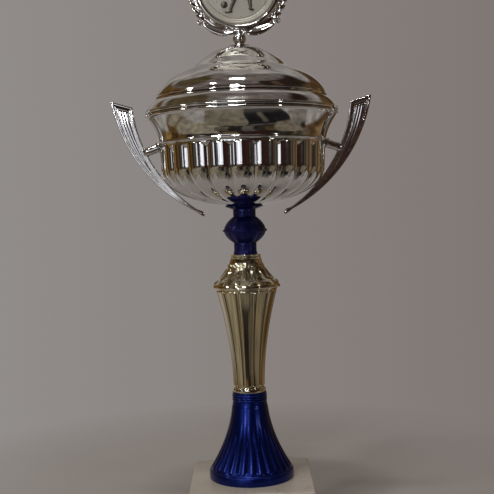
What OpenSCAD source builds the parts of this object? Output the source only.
// Covered cup trophy: a chromed two-handled bowl and lid on a stacked stem, drawn together
// by one threaded rod and standing on a square marble base.
// Origin: centre of the underside. +Z is up and the front faces -Y. Millimetres.

/* [Base] */
// Side of the square marble block
base_side = 80; // [80:1:90]
// Height of the marble block
base_h = 30; // [30:1:40]
// Chamfer along the block's edges
base_chamfer = 1.2; // [0.6:0.2:2]
// Side of the felt pad
felt_side = 76; // [70:1:78]
// Thickness of the felt pad
felt_t = 1; // [0.8:0.1:2]
// Diameter of the nut pocket under the block
pocket_d = 24; // [22:1:28]
// Depth of the nut pocket
pocket_h = 12; // [12:0.5:14]

/* [Foot and stem] */
// Radius of the foot's plain band
foot_r = 28; // [26:0.5:30]
// Radius of the foot's top
foot_top_r = 11.3; // [11:0.1:12]
// Height of the foot
foot_h = 57; // [55:0.5:60]
// Radius at the bottom of the column
column_r = 10.3; // [10.2:0.1:11]
// Radius at the top of the column
column_top_r = 20.7; // [20.4:0.1:21]
// Height of the column
column_h = 69.8; // [68:0.1:72]
// Radius of the collar's brim
brim_r = 22.6; // [22:0.1:24]
// Height of the collar's brim
brim_h = 2.5; // [2:0.1:3]
// Height of the collar above its brim
collar_h = 19.2; // [18:0.1:21]
// Wall of the moulded shells
shell_wall = 1.8; // [1.4:0.1:2]

/* [Knop] */
// Radius of the ball
knop_r = 14; // [13.5:0.1:14.5]
// Radius of the seam flange round the ball
flange_r = 14.7; // [14.6:0.1:15.2]
// Radius of both necks
neck_r = 7.5; // [7.3:0.1:7.8]
// Height of the half below the seam
knop_low_h = 15.7; // [15:0.1:17]
// Height of the half above the seam
knop_high_h = 14; // [13:0.1:15]
// Radius of the seat's rim under the bowl
seat_r = 12.3; // [11:0.1:13]
// Height from the seat's foot to the bowl's lowest point
seat_h = 2.4; // [2.2:0.1:3]

/* [Bowl] */
// Radius of the lower bowl
bowl_r = 53.6; // [52:0.2:55]
// Depth of the rounded lower bowl
bowl_depth = 26.2; // [25:0.2:28]
// Height of the upright wall above the rounded part
bowl_wall_h = 11.2; // [10:0.2:12]
// Height of the sloping belt
belt_h = 4.8; // [4:0.2:5]
// Radius of the bowl at its rim
rim_r = 63.6; // [63:0.1:65]
// Height of the flare above the belt
flare_h = 17.4; // [16:0.2:19]
// Wall of the bowl and lid
metal_wall = 1.2; // [1:0.1:1.4]

/* [Lid] */
// Height of the lid's shoulder
shoulder_h = 8.8; // [8:0.1:10]
// Radius of the step above the shoulder
step_r = 56.5; // [55:0.1:57]
// Height of the dome above the step
dome_h = 17; // [16:0.1:18]
// Height of the bell-shaped crown above the dome
crown_h = 16.4; // [15:0.1:18]
// Gap between the lid and the bowl's rim
lid_gap = 0.3; // [0.2:0.1:0.5]
// How far the lid lifts to clear the handles and the rim
lid_travel = 120; // [60:10:150]

/* [Emblem] */
// Diameter of the emblem
emblem_d = 50; // [50:1:50]
// Radius of the holder's wreath
wreath_r = 33.6; // [33:0.1:35]
// Thickness of the holder
holder_t = 5; // [4.4:0.2:6]
// Height of the emblem's centre above the lid's crown
emblem_lift = 39.3; // [38.5:0.1:42]

/* [Handles] */
// Thickness of a handle blade
blade_t = 4.6; // [4.2:0.2:5]
// Diameter of the stub that joins a handle to the bowl
stub_d = 6.2; // [6:0.1:7]
// Length of the stub
stub_l = 11; // [10.5:0.1:11.5]
// Downward slope of the stub in degrees
stub_tilt = 19; // [17:0.5:20]

/* [Hidden] */
$fn = 96;

// colours of the finishes
chrome = [0.82, 0.83, 0.84];
champagne = [0.83, 0.78, 0.62];
candy_blue = [0.05, 0.08, 0.5];
navy = [0.05, 0.06, 0.35];
marble = [0.9, 0.88, 0.83];
zinc = [0.68, 0.69, 0.7];
satin = [0.86, 0.85, 0.76];
felt_green = [0.1, 0.25, 0.16];

// hardware, M6 and M4
rod_d = 6;
rod_hole_d = 6.5;
thread_d = 5.6;          // bore of a nut, cut into by the rod's thread
nut_af = 10;
nut_h = 5;
washer_d = 18;
washer_t = 1.6;
screw_d = 4;
screw_pilot_d = 3.6;
screw_hole_d = 4.5;
screw_head_d = 7;
screw_head_h = 2.4;
small_washer_d = 9;
small_washer_t = 0.8;

// heights of the joints in the stack
top_z = felt_t + base_h;
column_z = top_z + foot_h;
brim_z = column_z + column_h;
collar_z = brim_z + brim_h;
knop_z = collar_z + collar_h;
seam_z = knop_z + knop_low_h;
seat_z = seam_z + knop_high_h;
bowl_z = seat_z + seat_h;
bowl_wall_z = bowl_z + bowl_depth;
belt_z = bowl_wall_z + bowl_wall_h;
flare_z = belt_z + belt_h;
rim_z = flare_z + flare_h;
lid_z = rim_z + lid_gap;
step_z = lid_z + shoulder_h;
dome_z = step_z + 2.2;
crown_z = dome_z + dome_h;
lid_top_z = crown_z + crown_h;
emblem_z = lid_top_z + emblem_lift;
belt_low_r = bowl_r + 0.5;
belt_high_r = belt_low_r + belt_h * tan(stub_tilt);
web = 3;                 // end walls of the shells
steps = 10;              // spans along each curved outline

// point at t on the cubic curve with four controls, and the whole curve
function mix4(p, t) = p[0] * pow(1 - t, 3) + p[1] * 3 * t * pow(1 - t, 2)
    + p[2] * 3 * t * t * (1 - t) + p[3] * pow(t, 3);
function curve(p, n = steps) = [for (i = [0 : n]) mix4(p, i / n)];
function reversed(p) = [for (i = [len(p) - 1 : -1 : 0]) p[i]];
function lifted(p, z) = [for (q = p) [q[0], q[1] + z]];
function thinned(p, t) = [for (q = p) [max(q[0] - t, 0.1), q[1]]];

// outlines of the turned shells, [radius, height] from the bottom of each piece
foot_band_h = 6;
function foot_line() = concat([[foot_r - 0.2, 0], [foot_r, 0.8], [foot_r, foot_band_h - 0.8]],
    [for (i = [0 : 14]) let (t = i / 14)
        [foot_top_r + (foot_r - 0.8 - foot_top_r) * pow(1 - t, 1.95),
         foot_band_h + (foot_h - foot_band_h - 3) * t]]);
column_ring_h = 3;
function column_line() = [for (i = [0 : 14]) let (t = i / 14)
    [column_r + (column_top_r - column_r) * pow(t, 1.85),
     column_ring_h + (column_h - column_ring_h) * t]];
collar_top_r = 10;
function collar_line() = [for (i = [0 : 12]) let (t = i / 12)
    [collar_top_r + (brim_r - 0.8 - collar_top_r) * pow(1 - t, 1.9),
     brim_h + collar_h * t]];

// lower bowl: height above its lowest point at radius r, on a squared ellipse
bowl_power = 2.15;
function bowl_rise(r, a, b) = b * (1 - pow(max(1 - pow(r / a, bowl_power), 0), 1 / bowl_power));
function bowl_round(r0, a, b, n) = [for (i = [0 : n]) let (r = r0 + (a - r0) * sin(90 * i / n))
    [r, bowl_rise(r, a, b)]];
function bowl_outer() = concat(lifted(bowl_round(rod_hole_d / 2, bowl_r, bowl_depth, 18), bowl_z),
    [[belt_low_r, belt_z], [belt_high_r, flare_z]],
    [for (i = [1 : 10]) let (t = i / 10)
        [belt_high_r + (rim_r - 0.6 - belt_high_r) * pow(t, 1.65), flare_z + (flare_h - 1.6) * t]]);
function bowl_inner() = concat(
    lifted(bowl_round(rod_hole_d / 2, bowl_r - metal_wall, bowl_depth - metal_wall, 18),
        bowl_z + metal_wall),
    [for (p = bowl_outer()) if (p[1] > bowl_wall_z + 1) [p[0] - metal_wall, p[1]]]);

function lid_outer() = concat(
    lifted(curve([[rim_r - 0.2, 1], [61.9, 3.6], [60, 6.6], [step_r + 0.6, shoulder_h]]), lid_z),
    lifted(curve([[step_r, 0], [55.2, 6], [48, 13], [37, dome_h]]), dome_z),
    lifted(curve([[36, 0.1], [32.2, 0.8], [30.5, 3.9], [26.4, 7.1]], 6), crown_z),
    lifted(curve([[25.9, 7.5], [22, 10.6], [15, 15.9], [4.5, crown_h]], 8), crown_z));

module turned(line) {
    rotate_extrude() polygon(line);
}

// hollow shell: outline on the outside, the same outline less the wall on the inside,
// between a bottom level and a top level
module hollow(line, wall, low, high) {
    difference() {
        turned(concat([[0, line[0][1]]], line, [[0, line[len(line) - 1][1]]]));
        intersection() {
            turned(concat([[0, line[0][1] - 1]], [[line[0][0] - wall, line[0][1] - 1]],
                thinned(line, wall), [[0, line[len(line) - 1][1]]]));
            translate([0, 0, low]) cylinder(r = 100, h = high - low);
        }
        translate([0, 0, line[0][1] - 1]) cylinder(d = rod_hole_d, h = 400);
    }
}

module hex_nut() {
    difference() {
        cylinder(d = nut_af / cos(30), h = nut_h, $fn = 6);
        translate([0, 0, -1]) cylinder(d = thread_d, h = nut_h + 2);
    }
}

module washer(d, hole, t) {
    difference() {
        cylinder(d = d, h = t);
        translate([0, 0, -1]) cylinder(d = hole, h = t + 2);
    }
}

module base_felt() {
    color(felt_green)
        translate([-felt_side / 2, -felt_side / 2, 0]) cube([felt_side, felt_side, felt_t]);
}

// square of side w with its corners cut back by c
module cut_square(w, h, c) {
    polygon([[-w / 2 + c, 0], [w / 2 - c, 0], [w / 2, c], [w / 2, h - c],
             [w / 2 - c, h], [-w / 2 + c, h], [-w / 2, h - c], [-w / 2, c]]);
}

module marble_base() {
    color(marble) difference() {
        intersection() {
            translate([0, base_side / 2, felt_t]) rotate([90, 0, 0])
                linear_extrude(base_side) cut_square(base_side, base_h, base_chamfer);
            translate([-base_side / 2, 0, felt_t]) rotate([90, 0, 90])
                linear_extrude(base_side) cut_square(base_side, base_h, base_chamfer);
            translate([0, -base_side / 2, felt_t])
                linear_extrude(base_h) cut_square(base_side, base_side, base_chamfer);
        }
        cylinder(d = rod_hole_d, h = top_z + 1);
        cylinder(d = pocket_d, h = felt_t + pocket_h);
    }
}

lower_washer_z = felt_t + pocket_h - washer_t;
lower_nut_z = lower_washer_z - nut_h;

module rod_washer_lower() {
    color(zinc) translate([0, 0, lower_washer_z]) washer(washer_d, rod_hole_d, washer_t);
}

module rod_nut_lower() {
    color(zinc) translate([0, 0, lower_nut_z]) hex_nut();
}

upper_washer_z = bowl_z + metal_wall + 0.3;
upper_nut_z = upper_washer_z + washer_t;

module tie_rod() {
    rod_low = lower_nut_z - 2;
    rod_high = upper_nut_z + nut_h + 3;
    color(zinc) translate([0, 0, rod_low]) cylinder(d = rod_d, h = rod_high - rod_low);
}

// raised ring on the foot's web that centres the column
spigot_r = 7.4;
spigot_h = 2;

module foot_bell() {
    lip_z = foot_h - 3;
    color(candy_blue) translate([0, 0, top_z]) {
        hollow(foot_line(), shell_wall, -1, foot_h - 3 - web);
        difference() {
            union() {
                translate([0, 0, lip_z]) cylinder(r = foot_top_r, h = 3);
                for (k = [0 : 2]) translate([0, 0, lip_z - 2.4 + 1.5 * k])
                    rotate_extrude() translate([foot_top_r + 0.2, 0]) circle(r = 0.5, $fn = 24);
                translate([0, 0, foot_h]) cylinder(r = spigot_r, h = spigot_h);
            }
            translate([0, 0, lip_z - 5]) cylinder(d = rod_hole_d, h = 20);
        }
    }
}

module stem_column() {
    color(champagne) translate([0, 0, column_z]) {
        hollow(column_line(), shell_wall, column_ring_h + web, column_h + 1);
        difference() {
            cylinder(r = column_r + 0.5, h = column_ring_h);
            translate([0, 0, -1]) cylinder(r = spigot_r + 0.2, h = spigot_h + 1.2);
            cylinder(d = rod_hole_d, h = 10);
        }
    }
}

collar_lip_h = 4;
collar_lip_r = column_top_r - shell_wall - 1.1;

module stem_collar() {
    color(champagne) translate([0, 0, brim_z]) {
        difference() {
            union() {
                cylinder(r = brim_r, h = brim_h);
                translate([0, 0, -collar_lip_h]) cylinder(r = collar_lip_r, h = collar_lip_h);
            }
            translate([0, 0, -collar_lip_h - 1])
                cylinder(r = collar_lip_r - shell_wall, h = collar_lip_h + brim_h + 2);
        }
        difference() {
            turned(concat([[0, brim_h]], collar_line(), [[0, brim_h + collar_h]]));
            intersection() {
                turned(concat([[0, 0], [collar_lip_r - shell_wall, 0]],
                    [for (p = collar_line()) [min(p[0] - shell_wall, collar_lip_r - shell_wall), p[1]]],
                    [[0, brim_h + collar_h]]));
                cylinder(r = 60, h = brim_h + collar_h - web);
            }
            cylinder(d = rod_hole_d, h = 60);
        }
    }
}

// ball halves: quarter ellipses of the ball's radius, cut off where they reach the neck
knop_low_b = 10.6;
knop_high_b = 12;
flange_t = 0.7;
function half_ball(b) = [for (i = [0 : 8]) let (a = acos(neck_r / knop_r) * i / 8)
    [knop_r * cos(a), b * sin(a)]];

module knop_half(b, h) {
    wall_line = concat(half_ball(b), [[neck_r, h]]);
    difference() {
        union() {
            turned(concat([[0, 0]], wall_line, [[0, h]]));
            cylinder(r = flange_r, h = flange_t);
        }
        intersection() {
            turned(concat([[0, -1], [knop_r - shell_wall, -1]], thinned(wall_line, shell_wall), [[0, h]]));
            translate([0, 0, -1]) cylinder(r = 60, h = h - web + 1);
        }
        cylinder(d = rod_hole_d, h = 60);
    }
}

module knop_lower() {
    color(navy) translate([0, 0, seam_z]) mirror([0, 0, 1]) knop_half(knop_low_b, knop_low_h);
}

module knop_upper() {
    color(navy) translate([0, 0, seam_z]) knop_half(knop_high_b, knop_high_h);
}

module bowl_seat() {
    bore_r = rod_hole_d / 2;
    color(navy) turned(concat([[bore_r, seat_z], [neck_r + 0.4, seat_z], [9.6, seat_z + 0.9],
                               [seat_r, seat_z + 2.2]],
        [for (i = [8 : -1 : 0]) let (r = bore_r + (seat_r - 0.4 - bore_r) * i / 8)
            [r, bowl_z + bowl_rise(r, bowl_r, bowl_depth)]]));
}

// frame of a handle's stub: its origin on the belt's outer wall, +Z outwards and down
stub_z = belt_z + belt_h / 2;
stub_x = (belt_low_r + belt_high_r) / 2;
module at_stub() {
    translate([stub_x, 0, stub_z]) rotate([0, 90 + stub_tilt, 0]) children();
}
wall_skew = 0.4;         // what the bowl's round wall takes from a flat washer

module bowl() {
    color(chrome) difference() {
        union() {
            turned(concat(bowl_outer(), reversed(bowl_inner())));
            translate([0, 0, rim_z - 1]) rotate_extrude() translate([rim_r - 0.9, 0])
                circle(r = 1, $fn = 32);
        }
        for (side = [0, 1]) mirror([side, 0, 0])
            at_stub() translate([0, 0, -6]) cylinder(d = screw_hole_d, h = 12);
    }
}

module bowl_washer() {
    color(zinc) translate([0, 0, upper_washer_z]) washer(washer_d, rod_hole_d, washer_t);
}

module rod_nut_upper() {
    color(zinc) translate([0, 0, upper_nut_z]) hex_nut();
}

// blade outline between two arcs whose centres are given from the top of the bowl's round part;
// u runs from the tip to the top, v from the inner edge out
inner_arc = [-21.9, 49.9, 94];        // centre and radius of the inner edge
outer_arc = [-14, 60.4, 100.9];       // centre and radius of the outer edge
inner_turn = [-58.2, -6.2];           // angles of its tip and top
outer_turn = [-65.6, -9.4];
function on_arc(a, turn, u) = let (w = turn[0] + (turn[1] - turn[0]) * u)
    [a[0] + a[2] * cos(w), a[1] + a[2] * sin(w)];
function blade_point(u, v) = on_arc(inner_arc, inner_turn, u) * (1 - v)
    + on_arc(outer_arc, outer_turn, u) * v;
function blade_line(u0, u1, v0, v1) = concat(
    [for (i = [0 : 14]) blade_point(u0 + (u1 - u0) * i / 14, v0)],
    [for (i = [14 : -1 : 0]) blade_point(u0 + (u1 - u0) * i / 14, v1)]);

module blade() {
    panel_depth = 0.6;
    translate([0, 0, bowl_wall_z]) rotate([90, 0, 0]) difference() {
        union() {
            linear_extrude(blade_t, center = true) polygon(blade_line(0, 1, 0, 1));
            translate(concat(blade_point(0, 0.5), 0))
                cylinder(r = 1.3, h = blade_t, center = true, $fn = 32);
        }
        for (side = [-1, 1]) translate([0, 0, side * blade_t / 2])
            linear_extrude(2 * panel_depth, center = true) polygon(blade_line(0.3, 0.93, 0.2, 0.8));
    }
}

module handle() {
    pilot_l = 9;
    difference() {
        union() {
            blade();
            at_stub() cylinder(d = stub_d, h = stub_l);
        }
        at_stub() translate([0, 0, -1]) cylinder(d = screw_pilot_d, h = pilot_l + 1);
    }
}

module handle_right() {
    color(chrome) handle();
}

module handle_left() {
    color(chrome) mirror([1, 0, 0]) handle();
}

module handle_screws() {
    head_z = -metal_wall - wall_skew - small_washer_t;
    screw_l = 9.5;
    color(zinc) for (side = [0, 1]) mirror([side, 0, 0]) at_stub() {
        translate([0, 0, head_z - screw_head_h]) cylinder(d = screw_head_d, h = screw_head_h);
        translate([0, 0, head_z]) cylinder(d = screw_d, h = screw_l);
    }
}

module handle_washers() {
    color(zinc) for (side = [0, 1]) mirror([side, 0, 0]) at_stub()
        translate([0, 0, -metal_wall - wall_skew - small_washer_t])
            washer(small_washer_d, screw_d + 0.3, small_washer_t);
}

lid_lip_r = rim_r - 5.2;
lid_lip_h = 5;
roof_drop = 0.9;         // how far the lid's inner face is below its outer face
lid_washer_z = lid_top_z - roof_drop - 0.15 - small_washer_t;

module lid_shell() {
    line = lid_outer();
    roof = thinned(line, metal_wall);
    color(chrome) difference() {
        union() {
            turned(concat([[0, lid_z], [rim_r - 0.2, lid_z]], line, [[0, lid_top_z]]));
            translate([0, 0, lid_z + 1]) rotate_extrude() translate([rim_r - 0.9, 0])
                circle(r = 1, $fn = 32);
            translate([0, 0, lid_z - lid_lip_h]) cylinder(r = lid_lip_r, h = lid_lip_h + 1);
        }
        turned(concat([[0, lid_z + 1.2], [rim_r - 3, lid_z + 1.2]],
            [for (p = roof) if (p[1] > lid_z + 2) [p[0], p[1] - roof_drop]],
            [[0, lid_top_z - roof_drop]]));
        translate([0, 0, lid_z - lid_lip_h - 1]) cylinder(r = lid_lip_r - metal_wall, h = lid_lip_h + 3);
        cylinder(d = screw_hole_d, h = lid_top_z + 5);
    }
}

module lid_washer() {
    color(zinc) translate([0, 0, lid_washer_z]) washer(small_washer_d, screw_hole_d, small_washer_t);
}

lid_screw_l = 12;

module lid_screw() {
    color(zinc) translate([0, 0, lid_washer_z]) {
        translate([0, 0, -screw_head_h]) cylinder(d = screw_head_d, h = screw_head_h);
        cylinder(d = screw_d, h = lid_screw_l);
    }
}

// stem of the holder: flared foot, neck and a barrel-shaped ball
stem_foot_r = 7.2;
stem_neck_r = 3.4;
stem_ball_r = 4.2;
function stem_line() = concat([[0, 0], [stem_foot_r, 0], [stem_foot_r, 0.4]],
    curve([[stem_foot_r, 0.4], [5, 0.9], [3.8, 1.6], [stem_neck_r, 2.8]], 5),
    curve([[stem_neck_r, 3.2], [4.6, 4.6], [4.6, 8], [stem_neck_r, 10]], 6), [[0, 10]]);

wreath_lobes = 28;

module leaf() {
    polygon(concat(curve([[2, -28], [8, -36], [20, -34], [25, -26.2]]),
                   curve([[25, -26.2], [27, -24.2], [30, -24.6], [32, -22.4]], 5),
                   [[27, -19.5], [20, -18], [4, -24]]));
}

module holder_outline() {
    lobe_r = 2.6;
    circle(r = wreath_r - 2.4);
    for (i = [0 : wreath_lobes - 1]) rotate(i * 360 / wreath_lobes)
        translate([0, wreath_r - lobe_r]) circle(r = lobe_r, $fn = 24);
    leaf();
    mirror([1, 0]) leaf();
}

disc_t = 1.4;
pad_t = 0.6;
recess_t = disc_t + pad_t;
front_y = -holder_t / 2;

module emblem_holder() {
    stem_z = lid_top_z;
    color(chrome) difference() {
        union() {
            translate([0, holder_t / 2, emblem_z]) rotate([90, 0, 0])
                linear_extrude(holder_t) holder_outline();
            translate([0, 0, stem_z]) turned(stem_line());
        }
        translate([0, front_y - 1, emblem_z]) rotate([-90, 0, 0])
            cylinder(d = emblem_d + 0.4, h = recess_t + 1);
        translate([0, 0, stem_z - 1]) cylinder(d = screw_pilot_d, h = lid_screw_l - 1);
    }
}

module emblem_pad() {
    color(felt_green) translate([0, front_y + disc_t, emblem_z]) rotate([-90, 0, 0])
        cylinder(d = emblem_d - 4, h = pad_t);
}

module emblem_disc() {
    color(satin) translate([0, front_y, emblem_z]) rotate([-90, 0, 0])
        cylinder(d = emblem_d, h = disc_t);
}

base_felt();
marble_base();
rod_washer_lower();
rod_nut_lower();
tie_rod();
foot_bell();
stem_column();
stem_collar();
knop_lower();
knop_upper();
bowl_seat();
bowl();
bowl_washer();
rod_nut_upper();
handle_left();
handle_right();
handle_screws();
handle_washers();
lid_shell();
lid_washer();
lid_screw();
emblem_holder();
emblem_pad();
emblem_disc();
